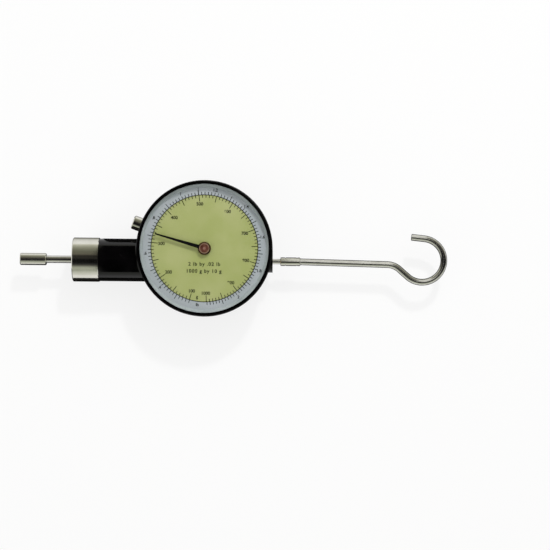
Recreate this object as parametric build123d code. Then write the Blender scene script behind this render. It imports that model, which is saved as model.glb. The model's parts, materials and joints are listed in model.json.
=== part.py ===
from build123d import *
import math
import os

# Push and pull force gauge with a round dial. Millimetres.
#
# Frame: the gauge lies on its back. Z = 0 is the back face and +Z points out of the dial. The dial's
# centre is on the Z axis, +X runs along the rod towards the hook, and +Y is up on the dial.
#
# One rod runs through the case, below the dial's centre. Pushing its flat tip in and pulling its hook
# out both move it along +X, against the main spring in the neck. A slotted rack plate on the rod turns
# the pinion, the pointer and a fine ratchet wheel. The reset button lifts the pawl off that wheel.

os.makedirs("parts", exist_ok=True)

# ---- Fits and clearances ----
press_gap = 0.01          # radial, pressed or screwed pieces in their holes
slip_gap = 0.1            # radial, pieces that drop into a recess or over a shoulder
running_gap = 0.05        # radial, shafts, pins and the button in their guides
free_gap = 0.3            # between pieces that move past each other
through = 1.0             # how far a cut runs past the face it opens

# ---- Case ----
case_diameter = 58.2
case_wall = 2.4
wall_lift = 0.4           # the wall's back edge stands this far off the back face
wall_edge_chamfer = 0.4
rim_recess = 0.8          # the rim that carries the bezel is this much smaller in radius
rim_height = 1.4
rebate_depth = 1.0        # the dial's rebate in the wall, in radius
ledge_width = 3.9         # the inner ledge between the back cover and the base plate
ledge_thickness = 2.5
neck_diameter = 18.4
neck_length = 16.35       # from the round wall to the cap
neck_fillet = 0.6
neck_fillet_room = 0.2    # between the neck's fillet and the bezel
spigot_diameter = 15.0    # the neck's end, which the cap screws onto
spigot_length = 6.0
web_thickness = 2.0       # between the spring chamber and the inside of the case
chamber_diameter = 12.0
rear_boss_diameter = 9.7
rear_boss_proud = 0.05    # the boss's flat face beyond the round wall
rear_boss_depth = 4.6

# ---- Back cover ----
cover_thickness = 1.5
cover_edge_chamfer = 0.3

# ---- Rod line ----
rod_offset = 5.25         # the rod's axis below the dial's centre
rod_height = 11.0         # the rod's axis above the back face
rod_diameter = 3.2
rod_exposed = 11.65       # bare rod between the cap and the tip
rod_inner_end = 16.0      # the rod's inner end beyond the dial's centre
rod_flat_height = 0.8     # the rack's flat above the rod's axis
slide_in = 7.65           # travel from the stored reading to full scale
slide_out = 3.05          # travel from the stored reading back to the zero stop
tip_diameter = 5.2
tip_length = 11.3
tip_chamfer = 0.3
tip_spigot_diameter = 2.2
tip_spigot_length = 7.0
stem_diameter = 2.3
stem_socket_depth = 3.8
coupling_gap = 3.35       # bare stem between the rear boss and the coupling
coupling_diameter = 3.7
coupling_length = 8.5
coupling_collars = (2.1, 1.4)
coupling_groove_depth = 0.2
coupling_groove_width = 0.35
coupling_socket_depth = 3.4

# ---- Neck cap ----
cap_diameter = 19.0
cap_length = 11.3
cap_end_wall = 3.0
cap_outer_chamfer = 0.3
cap_inner_chamfer = 0.15
front_bushing_diameter = 6.0
rear_bushing_diameter = 5.0

# ---- Spring in the neck ----
collar_diameter = 9.6
collar_length = 2.5
collar_pin_diameter = 1.0
collar_stop_gap = 0.1     # left between the collar and the cap at the zero stop
main_wire_diameter = 0.8
main_spring_diameter = 9.2
main_spring_turns = 10
seat_washer_diameter = 11.4
seat_washer_thickness = 0.5
spring_end_gap = 0.03

# ---- Hook ----
wire_diameter = 2.9
hook_spigot_diameter = 2.0
hook_spigot_length = 3.2
hook_shank_length = 37.6
hook_shank_droop = 1.2    # degrees that the shank leans off the rod's line
hook_bend_radius = 8.2
hook_bend_angle = 40.0
hook_run_length = 4.7
hook_bow_radius = 9.4
hook_bow_angle = 215.3
hook_end_length = 5.7
hook_end_chamfer = 0.15

# ---- Movement plates ----
base_plate_thickness = 1.5
front_plate_lift = 4.5    # the front plate above the rod's axis
front_plate_thickness = 1.5
front_plate_rim = 2.2     # plate beyond the pillars' centres
front_plate_window = 8.0  # diameter of the plate's lightening holes
pillar_inset = 4.3        # the pillars' centres inside the ledge
pillar_angles = (80, 215, 325)
window_angles = (20, 147, 270)
window_centre_radius = 11.5
pillar_diameter = 3.5
screw_diameter = 1.6
screw_head_diameter = 3.0
screw_head_height = 1.0
screw_slot_width = 0.45
screw_slot_depth = 0.45
screw_bite = 2.0
base_screw_angles = (0, 90, 180, 270)
cover_screw_angles = (45, 135, 225, 315)
countersink_diameter = 3.2
countersink_height = 0.9
countersink_recess = 0.1

# ---- Rack, pinion and arbor ----
gear_module = 0.25
pinion_teeth = 14
pressure_angle = 20.0
rack_addendum = 0.2
gear_clearance = 0.05
gear_backlash = 0.04
pinion_width = 2.4
pinion_side_gap = 0.5     # between the pinion and the plain edge of the rack plate's slot
rack_thickness = 1.2
rack_border = 2.2         # plate left around the slot
rack_teeth_before = 12    # teeth on the plunger's side of the dial's centre
rack_teeth_after = 6
rack_screw_diameter = 1.2
rack_screw_head_diameter = 2.4
rack_screw_head_height = 0.8
rack_screw_places = (-8.0, 4.0)
rack_screw_bite = 1.7
guide_pin_diameter = 1.5
guide_pin_place = 10.5
guide_stop_gap = 0.1
arbor_diameter = 1.5
arbor_lower_pivot = 1.0
arbor_upper_pivot = 1.2
arbor_bushing_diameter = 3.2
arbor_bushing_overhang = 0.3
wheel_diameter = 9.0
wheel_tooth_depth = 0.35
wheel_teeth = 60
wheel_thickness = 1.0
wheel_lift = 1.7          # the wheel above the base plate
wheel_hub_diameter = 3.0
wheel_hub_height = 0.8

# ---- Dial, pointer and glass ----
dial_drop = 2.7           # the dial's underside above the front plate
dial_thickness = 0.8
dial_hole_diameter = 3.2
dial_pin_diameter = 0.6
dial_pin_depth = 1.0
dial_pin_angle = 90.0
reading_angle = 106.0     # the stored reading, clockwise from straight down
pointer_length = 22.0
pointer_root_width = 1.7
pointer_tip_width = 0.6
pointer_thickness = 0.25
boss_lift = 0.6           # the pointer boss above the dial
boss_diameter = 5.6
boss_height = 1.1
boss_chamfer = 0.3
pointer_cap_diameter = 4.4
pointer_cap_height = 0.55
pointer_cap_chamfer = 0.2
arbor_end_proud = 0.12
spacer_height = 1.6
spacer_width = 1.4        # at the dial; its inner face slopes out from there to the land
spacer_land = 0.25        # width left under the crystal
crystal_thickness = 1.2
crystal_chamfer = 0.2
crystal_gap = 0.05
bezel_step = 0.2          # the bezel is this much smaller in radius than the case
bezel_lip_width = 1.45    # black ring seen from the front
bezel_lip_height = 0.4
bezel_fillet = 0.45

# ---- Reset button, pawl lever and their springs ----
button_angle = 160.3      # from +X, on the case's wall
button_diameter = 6.0
button_proud = 4.1        # beyond the round wall
button_travel = 1.6
button_edge_chamfer = 0.4
button_flange_diameter = 7.4
button_flange_thickness = 0.6
button_flange_drop = 0.5  # the flange's outer face inside the wall
button_stem_diameter = 2.4
button_stem_chamfer = 0.5
bracket_thickness = 1.0
bracket_width = 8.4
bracket_top = 3.0         # bracket above the button's axis
bracket_foot_length = 3.2
bracket_screw_spread = 2.6
stem_reach = 0.7          # the stem's end inside the bracket
push_gap = 0.35           # between the stem and the lever
button_wire_diameter = 0.4
button_spring_diameter = 5.2
button_spring_turns = 4
spring_reserve = 0.5      # left between the button spring's coils at full travel
lever_pivot = (-12.0, 13.0)
lever_thickness = 1.0
lever_arm_width = 2.2
lever_tail_width = 2.6
lever_eye_diameter = 5.0
lever_tab_thickness = 1.0
lever_tab_width = 4.0
lever_tab_above = 1.5     # the tab above the button's axis
pawl_angle = 120.0        # where the pawl meets the ratchet wheel, from +X
pawl_gap = 0.1
pawl_tooth_length = 0.6
pawl_tooth_width = 1.6
lever_post_diameter = 2.0
lever_shoulder_diameter = 3.6
lever_end_play = 0.1
lever_clip_diameter = 4.4
lever_clip_thickness = 0.5
lever_post_proud = 0.4
leaf_thickness = 0.25
leaf_post = (1.0, 12.6)
leaf_post_diameter = 2.6
leaf_post_proud = 0.4
leaf_touch = 7.0          # along the lever's arm, from its pivot

# ---- Derived sizes ----
case_radius = case_diameter / 2
bore_radius = case_radius - case_wall
rim_radius = case_radius - rim_recess
bezel_radius = case_radius - bezel_step
rebate_radius = bore_radius + rebate_depth
ledge_radius = bore_radius - ledge_width
pillar_radius = ledge_radius - pillar_inset
cover_radius = bore_radius - slip_gap
plate_radius = bore_radius - free_gap
screw_circle = bore_radius - ledge_width / 2

ledge_top = cover_thickness + ledge_thickness
base_plate_top = ledge_top + base_plate_thickness
front_plate_bottom = rod_height + front_plate_lift
front_plate_top = front_plate_bottom + front_plate_thickness
dial_bottom = front_plate_top + dial_drop
dial_top = dial_bottom + dial_thickness
crystal_bottom = dial_top + spacer_height
crystal_top = crystal_bottom + crystal_thickness
bezel_top = crystal_top + bezel_lip_height

rod_y = -rod_offset
neck_radius = neck_diameter / 2
neck_end = -(case_radius + neck_length)
spigot_end = neck_end - spigot_length
web_face = -(bore_radius + web_thickness)
cap_end = neck_end - cap_length
cap_wall_face = cap_end + cap_end_wall
tip_inner_face = cap_end - rod_exposed
tip_face = tip_inner_face - tip_length
boss_face = case_radius + rear_boss_proud
boss_inner_face = boss_face - rear_boss_depth
coupling_start = boss_face + coupling_gap
coupling_end = coupling_start + coupling_length
collar_front = cap_wall_face + slide_out + collar_stop_gap
collar_back = collar_front + collar_length
washer_front = web_face - seat_washer_thickness

bezel_seat = max(rod_height + neck_radius + neck_fillet, dial_top + free_gap) + neck_fillet_room
case_top = bezel_seat + rim_height

pitch_radius = gear_module * pinion_teeth / 2
pinion_outer_radius = pitch_radius + gear_module
pinion_root_radius = pitch_radius - rack_addendum - gear_clearance
rack_root = pinion_outer_radius + gear_clearance
rack_tip = pitch_radius - rack_addendum
rack_pitch = math.pi * gear_module
rack_bottom = rod_height + rod_flat_height
rack_top = rack_bottom + rack_thickness
slot_bottom = -(pinion_outer_radius + pinion_side_gap)
slot_start = -(slide_in + pinion_outer_radius + free_gap)
slot_end = slide_out + pinion_outer_radius + free_gap
pinion_bottom = rack_bottom + rack_thickness / 2 - pinion_width / 2
wheel_bottom = base_plate_top + wheel_lift
wheel_top = wheel_bottom + wheel_thickness
boss_bottom = dial_top + boss_lift
pointer_bottom = boss_bottom + boss_height
pointer_top = pointer_bottom + pointer_thickness
pointer_cap_top = pointer_top + pointer_cap_height
pointer_direction = -90 - reading_angle
spacer_radius = rebate_radius - slip_gap
dome_radius = spacer_radius - spacer_width
tip_room = pointer_top + free_gap - crystal_bottom
dome_rise = tip_room / (1 - (pointer_length / dome_radius) ** 2)

flange_outer = bore_radius - button_flange_drop
flange_inner = flange_outer - button_flange_thickness
pressed_spring = (button_spring_turns + 1) * button_wire_diameter
bracket_outer = flange_inner - button_travel - pressed_spring - spring_reserve
bracket_inner = bracket_outer - bracket_thickness
button_stem_end = bracket_inner - stem_reach
tab_outer = button_stem_end - push_gap
lever_bottom = wheel_bottom
lever_top = lever_bottom + lever_thickness
pawl_tip_radius = wheel_diameter / 2 + pawl_gap


# ---- Helpers ----
def polar(radius, angle):
    """The XY point at a radius and an angle in degrees."""
    return radius * math.cos(math.radians(angle)), radius * math.sin(math.radians(angle))


def post(radius, bottom, top, place=(0, 0)):
    """An upright cylinder between two heights."""
    return Pos(place[0], place[1], (bottom + top) / 2) * Cylinder(radius, top - bottom)


def tube(outer, inner, bottom, top, place=(0, 0)):
    """An upright tube between two heights."""
    return post(outer, bottom, top, place) - post(inner, bottom - through, top + through, place)


def turned(radius, start, end):
    """A cylinder on the rod's axis between two X positions."""
    return Pos((start + end) / 2, rod_y, rod_height) * Rot(0, 90, 0) * Cylinder(radius, end - start)


def radial(shape):
    """Carries a shape drawn along +X from the Z axis to the reset button's line."""
    return Pos(0, 0, rod_height) * Rot(0, 0, button_angle) * shape


def along_x(radius, start, end):
    """A cylinder on the X axis."""
    return Pos((start + end) / 2, 0, 0) * Rot(0, 90, 0) * Cylinder(radius, end - start)


def flat_bar(start, end, width):
    """A flat bar with round ends between two XY points, as a sketch."""
    run_x, run_y = end[0] - start[0], end[1] - start[1]
    middle = Pos((start[0] + end[0]) / 2, (start[1] + end[1]) / 2)
    turn = Rot(0, 0, math.degrees(math.atan2(run_y, run_x)))
    return middle * turn * SlotCenterToCenter(math.hypot(run_x, run_y), width)


def closed_outline(points):
    """A face inside straight lines through the points."""
    return make_face(Polyline(*points, close=True))


def end_edges(shape, axis, last):
    """The edges of the shape's first or last face along an axis."""
    return shape.faces().sort_by(axis)[-1 if last else 0].edges()


def slotted_screw(place, seat, bite, up=True, diameter=screw_diameter,
                  head_diameter=screw_head_diameter, head_height=screw_head_height):
    """A cheese-head screw. Its head is on the seat's upper side, or under it where up is False."""
    head = post(head_diameter / 2, 0, head_height)
    head -= Pos(0, 0, head_height) * Box(head_diameter + through, screw_slot_width, 2 * screw_slot_depth)
    screw = head + post(diameter / 2, -bite, 0)
    turn = Rot(0, 0, 0) if up else Rot(180, 0, 0)
    return Pos(place[0], place[1], seat) * turn * screw


def screw_hole(place, bottom, top, diameter=screw_diameter):
    return post(diameter / 2 + press_gap, bottom, top, place)


def coil_spring(diameter, wire, length, turns):
    """A compression spring along +X from the origin, with its ends ground flat."""
    path = Helix(pitch=length / turns, height=length, radius=(diameter - wire) / 2)
    coil = sweep(Plane(origin=path @ 0, z_dir=path % 0) * Circle(wire / 2), path=path, is_frenet=True)
    slab = Pos(0, 0, length / 2) * Box(2 * diameter, 2 * diameter, length)
    return Rot(0, 90, 0) * (coil & slab)


# ---- Case, covers and fastenings ----
def make_case_body():
    outer = post(case_radius, wall_lift, bezel_seat)
    outer = chamfer(end_edges(outer, Axis.Z, False), wall_edge_chamfer)
    outer += turned(neck_radius, neck_end, -ledge_radius)
    joint = [e for e in outer.edges() if e.geom_type not in (GeomType.CIRCLE, GeomType.LINE)]
    outer = fillet(joint, neck_fillet)
    body = outer + post(rim_radius, bezel_seat, case_top)
    body += turned(spigot_diameter / 2, spigot_end, neck_end)
    body -= post(cover_radius + slip_gap, wall_lift - through, cover_thickness)
    body -= post(ledge_radius, 0, case_top)
    body -= post(bore_radius, ledge_top, case_top)
    body -= post(rebate_radius, dial_bottom, case_top + through)
    body += turned(rear_boss_diameter / 2, boss_inner_face, boss_face)
    body -= turned(rear_bushing_diameter / 2 + press_gap, boss_inner_face - through, boss_face + through)
    body -= turned(chamber_diameter / 2, spigot_end - through, web_face)
    body -= turned(rod_diameter / 2 + free_gap, web_face - through, -ledge_radius)
    body -= radial(along_x(button_diameter / 2 + running_gap, ledge_radius, case_radius + neck_length))
    for angle in base_screw_angles:
        body -= screw_hole(polar(screw_circle, angle), ledge_top - screw_bite, ledge_top + through)
    for angle in cover_screw_angles:
        body -= screw_hole(polar(screw_circle, angle), 0, cover_thickness + screw_bite)
    body -= dial_pin_shape(press_gap)
    return body


def countersunk_screw(place, gap=0.0):
    """A flat-head screw from the back face up into the ledge; a gap makes the hole for its head."""
    head_bottom = countersink_recess
    head = Cone(countersink_diameter / 2 + gap, screw_diameter / 2 + gap, countersink_height)
    head = Pos(0, 0, head_bottom + countersink_height / 2) * head
    shank = post(screw_diameter / 2 + gap, head_bottom + countersink_height, cover_thickness + screw_bite)
    return Pos(place[0], place[1], 0) * (head + shank)


def make_back_cover():
    cover = chamfer(end_edges(post(cover_radius, 0, cover_thickness), Axis.Z, False), cover_edge_chamfer)
    for angle in cover_screw_angles:
        place = polar(screw_circle, angle)
        cover -= countersunk_screw(place, press_gap)
        cover -= post(countersink_diameter / 2 + press_gap, -through, countersink_recess, place)
    return cover


def make_cover_screws():
    slot = Box(countersink_diameter + through, screw_slot_width, 2 * screw_slot_depth)
    screws = []
    for angle in cover_screw_angles:
        place = polar(screw_circle, angle)
        screws.append(countersunk_screw(place) - Pos(*place, countersink_recess) * slot)
    return screws


def make_bezel_ring():
    ring = post(bezel_radius, bezel_seat, bezel_top)
    ring = fillet(end_edges(ring, Axis.Z, True), bezel_fillet)
    ring -= post(rim_radius + slip_gap / 2, bezel_seat - through, case_top + slip_gap / 2)
    ring -= post(rebate_radius + crystal_gap, bezel_seat, crystal_top)
    return ring - post(bezel_radius - bezel_lip_width, crystal_top - through, bezel_top + through)


def make_crystal():
    """A flat rim under the bezel's lip, and inside it a shallow dome that clears the pointer's tip."""
    sphere_radius = (dome_radius ** 2 + dome_rise ** 2) / (2 * dome_rise)
    middle = Pos(0, 0, crystal_bottom + dome_rise - sphere_radius)
    rim = post(rebate_radius, crystal_bottom, crystal_top)
    rim = chamfer(end_edges(rim, Axis.Z, True), crystal_chamfer)
    dome_top = crystal_top + dome_rise + through
    dome = middle * Sphere(sphere_radius + crystal_thickness)
    dome &= post(dome_radius, crystal_bottom, dome_top)
    return rim + dome - middle * Sphere(sphere_radius)


def make_spacer_ring():
    """The pale ring around the dial. Its inner face slopes, so that it faces the reader."""
    ring = post(spacer_radius, dial_top, crystal_bottom)
    slope = Cone(dome_radius, spacer_radius - spacer_land, spacer_height)
    return ring - Pos(0, 0, (dial_top + crystal_bottom) / 2) * slope


def dial_pin_shape(gap=0.0):
    place = polar((bore_radius + rebate_radius) / 2, dial_pin_angle)
    return post(dial_pin_diameter / 2 + gap, dial_bottom - dial_pin_depth, dial_top - slip_gap, place)


def make_dial_plate():
    plate = tube(spacer_radius, dial_hole_diameter / 2, dial_bottom, dial_top)
    place = polar((bore_radius + rebate_radius) / 2, dial_pin_angle)
    return plate - post(dial_pin_diameter / 2 + press_gap, dial_bottom - through, dial_top + through, place)


# ---- Movement plates ----
def guide_slot():
    """The base plate's slot, which keeps the rod from turning and stops it at both ends."""
    reach = guide_pin_diameter / 2 + guide_stop_gap
    start = guide_pin_place - slide_out - reach
    end = guide_pin_place + slide_in + reach
    middle = Pos((start + end) / 2, rod_y, (ledge_top + base_plate_top) / 2)
    width = guide_pin_diameter + 2 * running_gap
    return middle * Box(end - start, width, base_plate_thickness + 2 * through)


def make_base_plate():
    plate = post(plate_radius, ledge_top, base_plate_top)
    low, high = ledge_top - through, base_plate_top + through
    for angle in base_screw_angles:
        plate -= screw_hole(polar(screw_circle, angle), low, high)
    for angle in pillar_angles:
        plate -= screw_hole(polar(pillar_radius, angle), low, high)
    for place in bracket_screw_places():
        plate -= screw_hole(place, low, high, rack_screw_diameter)
    plate -= post(arbor_bushing_diameter / 2 + press_gap, low, high)
    plate -= post(lever_post_diameter / 2 + press_gap, low, high, lever_pivot)
    plate -= post(leaf_post_diameter / 4 + press_gap, low, high, leaf_post)
    return plate - guide_slot()


def make_front_plate():
    plate = post(pillar_radius + front_plate_rim, front_plate_bottom, front_plate_top)
    low, high = front_plate_bottom - through, front_plate_top + through
    for angle in pillar_angles:
        plate -= screw_hole(polar(pillar_radius, angle), low, high)
    for angle in window_angles:
        plate -= post(front_plate_window / 2, low, high, polar(window_centre_radius, angle))
    return plate - post(arbor_bushing_diameter / 2 + press_gap, low, high)


def make_plate_pillars():
    pillars = []
    for angle in pillar_angles:
        place = polar(pillar_radius, angle)
        hole = screw_diameter / 2 + press_gap
        pillars.append(tube(pillar_diameter / 2, hole, base_plate_top, front_plate_bottom, place))
    return pillars


def make_pillar_screws():
    screws = []
    for angle in pillar_angles:
        place = polar(pillar_radius, angle)
        screws.append(slotted_screw(place, front_plate_top, front_plate_thickness + screw_bite))
        screws.append(slotted_screw(place, ledge_top, base_plate_thickness + screw_bite, up=False))
    return screws


def make_base_plate_screws():
    bite = base_plate_thickness + screw_bite - slip_gap
    return [slotted_screw(polar(screw_circle, angle), base_plate_top, bite) for angle in base_screw_angles]


def make_arbor_bushings():
    """The arbor's two bearings, one in each plate."""
    outer = arbor_bushing_diameter / 2
    over = arbor_bushing_overhang
    lower = tube(outer, arbor_lower_pivot / 2 + running_gap, ledge_top - over, base_plate_top + over)
    upper_bore = arbor_upper_pivot / 2 + running_gap
    upper = tube(outer, upper_bore, front_plate_bottom - over, front_plate_top + over)
    return [lower, upper]


# ---- Arbor with what turns on it ----
def make_arbor():
    shoulder_low = base_plate_top + arbor_bushing_overhang + free_gap
    shoulder_high = front_plate_bottom - arbor_bushing_overhang - free_gap
    arbor = post(arbor_diameter / 2, shoulder_low, shoulder_high)
    arbor += post(arbor_lower_pivot / 2, ledge_top - arbor_bushing_overhang, shoulder_low)
    return arbor + post(arbor_upper_pivot / 2, shoulder_high, pointer_cap_top + arbor_end_proud)


def make_pinion():
    base_radius = pitch_radius * math.cos(math.radians(pressure_angle))

    def involute(radius):
        roll = math.acos(base_radius / radius)
        return math.tan(roll) - roll

    half_tooth = math.pi / (2 * pinion_teeth) - gear_backlash / (4 * pitch_radius)
    steps = 4
    radii = [base_radius + (pinion_outer_radius - base_radius) * i / steps for i in range(steps + 1)]
    flank = [(pinion_root_radius, half_tooth + involute(pitch_radius))]
    flank += [(r, half_tooth + involute(pitch_radius) - involute(r)) for r in radii]
    points = []
    for tooth in range(pinion_teeth):
        centre = math.pi / 2 + (tooth + 0.5) * 2 * math.pi / pinion_teeth
        points += [(r, centre - a) for r, a in flank]
        points += [(r, centre + a) for r, a in reversed(flank)]
    outline = closed_outline([(r * math.cos(a), r * math.sin(a)) for r, a in points])
    blank = Pos(0, 0, pinion_bottom) * extrude(outline, pinion_width)
    bore = post(arbor_diameter / 2 + press_gap, pinion_bottom - through, pinion_bottom + 2 * pinion_width)
    return blank - bore


def make_hold_wheel():
    """Saw teeth whose steep faces stop the wheel from turning back."""
    tip = wheel_diameter / 2
    step = 360 / wheel_teeth
    points = []
    for tooth in range(wheel_teeth):
        points.append(polar(tip - wheel_tooth_depth, tooth * step))
        points.append(polar(tip, (tooth + 1) * step))
    wheel = Pos(0, 0, wheel_bottom) * extrude(closed_outline(points), wheel_thickness)
    low, high = wheel_bottom - wheel_hub_height, wheel_top + wheel_hub_height
    wheel += post(wheel_hub_diameter / 2, low, high)
    return wheel - post(arbor_diameter / 2 + press_gap, low - through, high + through)


def make_pointer_boss():
    boss = post(boss_diameter / 2, boss_bottom, pointer_bottom)
    boss = chamfer(end_edges(boss, Axis.Z, True), boss_chamfer)
    return boss - post(arbor_upper_pivot / 2 + press_gap, boss_bottom - through, pointer_bottom + through)


def make_pointer():
    half_root, half_tip = pointer_root_width / 2, pointer_tip_width / 2
    blade = closed_outline([(0, -half_root), (pointer_length, -half_tip),
                            (pointer_length, half_tip), (0, half_root)])
    outline = blade + Circle(boss_diameter / 2 - boss_chamfer) - Circle(arbor_upper_pivot / 2 + press_gap)
    return Pos(0, 0, pointer_bottom) * Rot(0, 0, pointer_direction) * extrude(outline, pointer_thickness)


def make_pointer_cap():
    cap = post(pointer_cap_diameter / 2, pointer_top, pointer_cap_top)
    cap = chamfer(end_edges(cap, Axis.Z, True), pointer_cap_chamfer)
    return cap - post(arbor_upper_pivot / 2 + press_gap, pointer_top - through, pointer_cap_top + through)


# ---- Rod with what slides on it ----
def collar_pin_shape(gap=0.0):
    """The pin that crosses the collar and the rod."""
    middle = (collar_front + collar_back) / 2
    reach = collar_diameter / 2 - slip_gap
    return post(collar_pin_diameter / 2 + gap, rod_height - reach, rod_height + reach, (middle, rod_y))


def guide_pin_shape(gap=0.0):
    """The pin that hangs from the rod into the base plate's slot."""
    top = rod_height + rod_diameter / 2 - slip_gap
    return post(guide_pin_diameter / 2 + gap, ledge_top + slip_gap, top, (guide_pin_place, rod_y))


def make_plunger_rod():
    rod = turned(rod_diameter / 2, tip_inner_face, rod_inner_end)
    rod += turned(tip_spigot_diameter / 2, tip_inner_face - tip_spigot_length, tip_inner_face)
    rod -= turned(stem_diameter / 2 + press_gap, rod_inner_end - stem_socket_depth, rod_inner_end + through)
    flat_start = slot_start - rack_border
    flat_end = slot_end + rack_border
    flat = Box(flat_end - flat_start, rod_diameter + through, rod_diameter)
    rod -= Pos((flat_start + flat_end) / 2, rod_y, rack_bottom + rod_diameter / 2) * flat
    for x in rack_screw_places:
        hole_bottom = rack_bottom - rack_screw_bite
        rod -= screw_hole((x, rod_y), hole_bottom, rack_top, rack_screw_diameter)
    rod -= guide_pin_shape(press_gap)
    return rod - collar_pin_shape(press_gap)


def make_plunger_tip():
    tip = turned(tip_diameter / 2, tip_face, tip_inner_face)
    tip = chamfer(end_edges(tip, Axis.X, False) + end_edges(tip, Axis.X, True), tip_chamfer)
    socket_end = tip_inner_face - tip_spigot_length - slip_gap
    return tip - turned(tip_spigot_diameter / 2 + press_gap, socket_end, tip_inner_face + through)


def make_spring_collar():
    collar = turned(collar_diameter / 2, collar_front, collar_back)
    collar -= turned(rod_diameter / 2 + press_gap, collar_front - through, collar_back + through)
    return collar - collar_pin_shape(press_gap)


def make_rack_plate():
    """A flat plate on the rod. The teeth are on the upper edge of its slot, above the pinion."""
    bottom = rod_y - rod_diameter / 2 - rack_border / 2
    top = rack_root + rack_border
    start, end = slot_start - rack_border, slot_end + rack_border
    centre = Pos((start + end) / 2, (bottom + top) / 2)
    outline = centre * RectangleRounded(end - start, top - bottom, rack_border / 2)
    slot = Pos((slot_start + slot_end) / 2, (slot_bottom + rack_root) / 2)
    outline -= slot * Rectangle(slot_end - slot_start, rack_root - slot_bottom)
    slope = math.tan(math.radians(pressure_angle))
    half_pitch_line = rack_pitch / 4 - gear_backlash / 4
    half_tip = half_pitch_line - rack_addendum * slope
    half_root = half_pitch_line + (rack_root - pitch_radius) * slope
    for tooth in range(-rack_teeth_before, rack_teeth_after + 1):
        x = tooth * rack_pitch
        outline += closed_outline([(x - half_root, rack_root), (x - half_tip, rack_tip),
                                   (x + half_tip, rack_tip), (x + half_root, rack_root)])
    plate = Pos(0, 0, rack_bottom) * extrude(outline, rack_thickness)
    for x in rack_screw_places:
        plate -= screw_hole((x, rod_y), rack_bottom - through, rack_top + through, rack_screw_diameter)
    return plate


def make_rack_screws():
    bite = rack_thickness + rack_screw_bite - slip_gap
    return [slotted_screw((x, rod_y), rack_top, bite, diameter=rack_screw_diameter,
                          head_diameter=rack_screw_head_diameter, head_height=rack_screw_head_height)
            for x in rack_screw_places]


def make_rear_stem():
    start = rod_inner_end - stem_socket_depth + slip_gap
    return turned(stem_diameter / 2, start, coupling_start + coupling_socket_depth - slip_gap)


def make_hook_coupling():
    coupling = turned(coupling_diameter / 2, coupling_start, coupling_end)
    edges = end_edges(coupling, Axis.X, False) + end_edges(coupling, Axis.X, True)
    coupling = chamfer(edges, coupling_groove_depth)
    inner = coupling_diameter / 2 - coupling_groove_depth
    for x in (coupling_start + coupling_collars[0], coupling_end - coupling_collars[1]):
        groove = turned(coupling_diameter, x - coupling_groove_width / 2, x + coupling_groove_width / 2)
        coupling -= groove - turned(inner, x - coupling_groove_width, x + coupling_groove_width)
    stem_end = coupling_start + coupling_socket_depth
    coupling -= turned(stem_diameter / 2 + press_gap, coupling_start - through, stem_end)
    hook_socket = coupling_end - hook_spigot_length - slip_gap
    return coupling - turned(hook_spigot_diameter / 2 + press_gap, hook_socket, coupling_end + through)


def make_hook():
    """One bent wire: shank, bend, short run, bow and free end, with a threaded spigot at its root."""
    shank = PolarLine((coupling_end - slip_gap, rod_y), hook_shank_length + slip_gap, -hook_shank_droop)
    bend = JernArc(shank @ 1, shank % 1, hook_bend_radius, -hook_bend_angle)
    run = PolarLine(bend @ 1, hook_run_length, direction=bend % 1)
    bow = JernArc(run @ 1, run % 1, hook_bow_radius, hook_bow_angle)
    free_end = PolarLine(bow @ 1, hook_end_length, direction=bow % 1)
    path = Wire([*shank.edges(), *bend.edges(), *run.edges(), *bow.edges(), *free_end.edges()])
    wire = sweep(Plane(origin=path @ 0, z_dir=path % 0) * Circle(wire_diameter / 2), path=path)
    tip = wire.faces().filter_by(GeomType.PLANE).sort_by_distance(free_end @ 1)[0]
    wire = Pos(0, 0, rod_height) * chamfer(tip.edges(), hook_end_chamfer)
    wire -= turned(wire_diameter, coupling_end - through, coupling_end)
    return wire + turned(hook_spigot_diameter / 2, coupling_end - hook_spigot_length, coupling_end + slip_gap)


# ---- Neck: cap, bushings and spring ----
def make_neck_cap():
    cap = turned(cap_diameter / 2, cap_end, neck_end)
    cap = chamfer(end_edges(cap, Axis.X, False), cap_outer_chamfer)
    cap = chamfer(end_edges(cap, Axis.X, True), cap_inner_chamfer)
    cap -= turned(front_bushing_diameter / 2 + press_gap, cap_end - through, cap_wall_face + through)
    cap -= turned(chamber_diameter / 2, cap_wall_face, neck_end)
    return cap - turned(spigot_diameter / 2 + press_gap, spigot_end - slip_gap, neck_end + through)


def make_front_bushing():
    bushing = turned(front_bushing_diameter / 2, cap_end, cap_wall_face)
    return bushing - turned(rod_diameter / 2 + running_gap, cap_end - through, cap_wall_face + through)


def make_rear_bushing():
    bushing = turned(rear_bushing_diameter / 2, boss_inner_face, boss_face)
    return bushing - turned(stem_diameter / 2 + running_gap, boss_inner_face - through, boss_face + through)


def make_seat_washer():
    washer = turned(seat_washer_diameter / 2, washer_front, web_face)
    return washer - turned(rod_diameter / 2 + free_gap, washer_front - through, web_face + through)


def make_main_spring():
    length = washer_front - collar_back - 2 * spring_end_gap
    spring = coil_spring(main_spring_diameter, main_wire_diameter, length, main_spring_turns)
    return Pos(collar_back + spring_end_gap, rod_y, rod_height) * spring


# ---- Reset button and pawl ----
def bracket_screw_places():
    """XY places of the screws that hold the button's bracket."""
    along = bracket_outer + bracket_foot_length / 2
    places = []
    for side in (-bracket_screw_spread, bracket_screw_spread):
        turn = math.radians(button_angle)
        places.append((along * math.cos(turn) - side * math.sin(turn),
                       along * math.sin(turn) + side * math.cos(turn)))
    return places


def make_reset_button():
    button = along_x(button_diameter / 2, flange_inner, case_radius + button_proud)
    button = chamfer(end_edges(button, Axis.X, True), button_edge_chamfer)
    button += along_x(button_flange_diameter / 2, flange_inner, flange_outer)
    stem = along_x(button_stem_diameter / 2, button_stem_end, flange_inner)
    stem = chamfer(end_edges(stem, Axis.X, False), button_stem_chamfer)
    return radial(button + stem)


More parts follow.
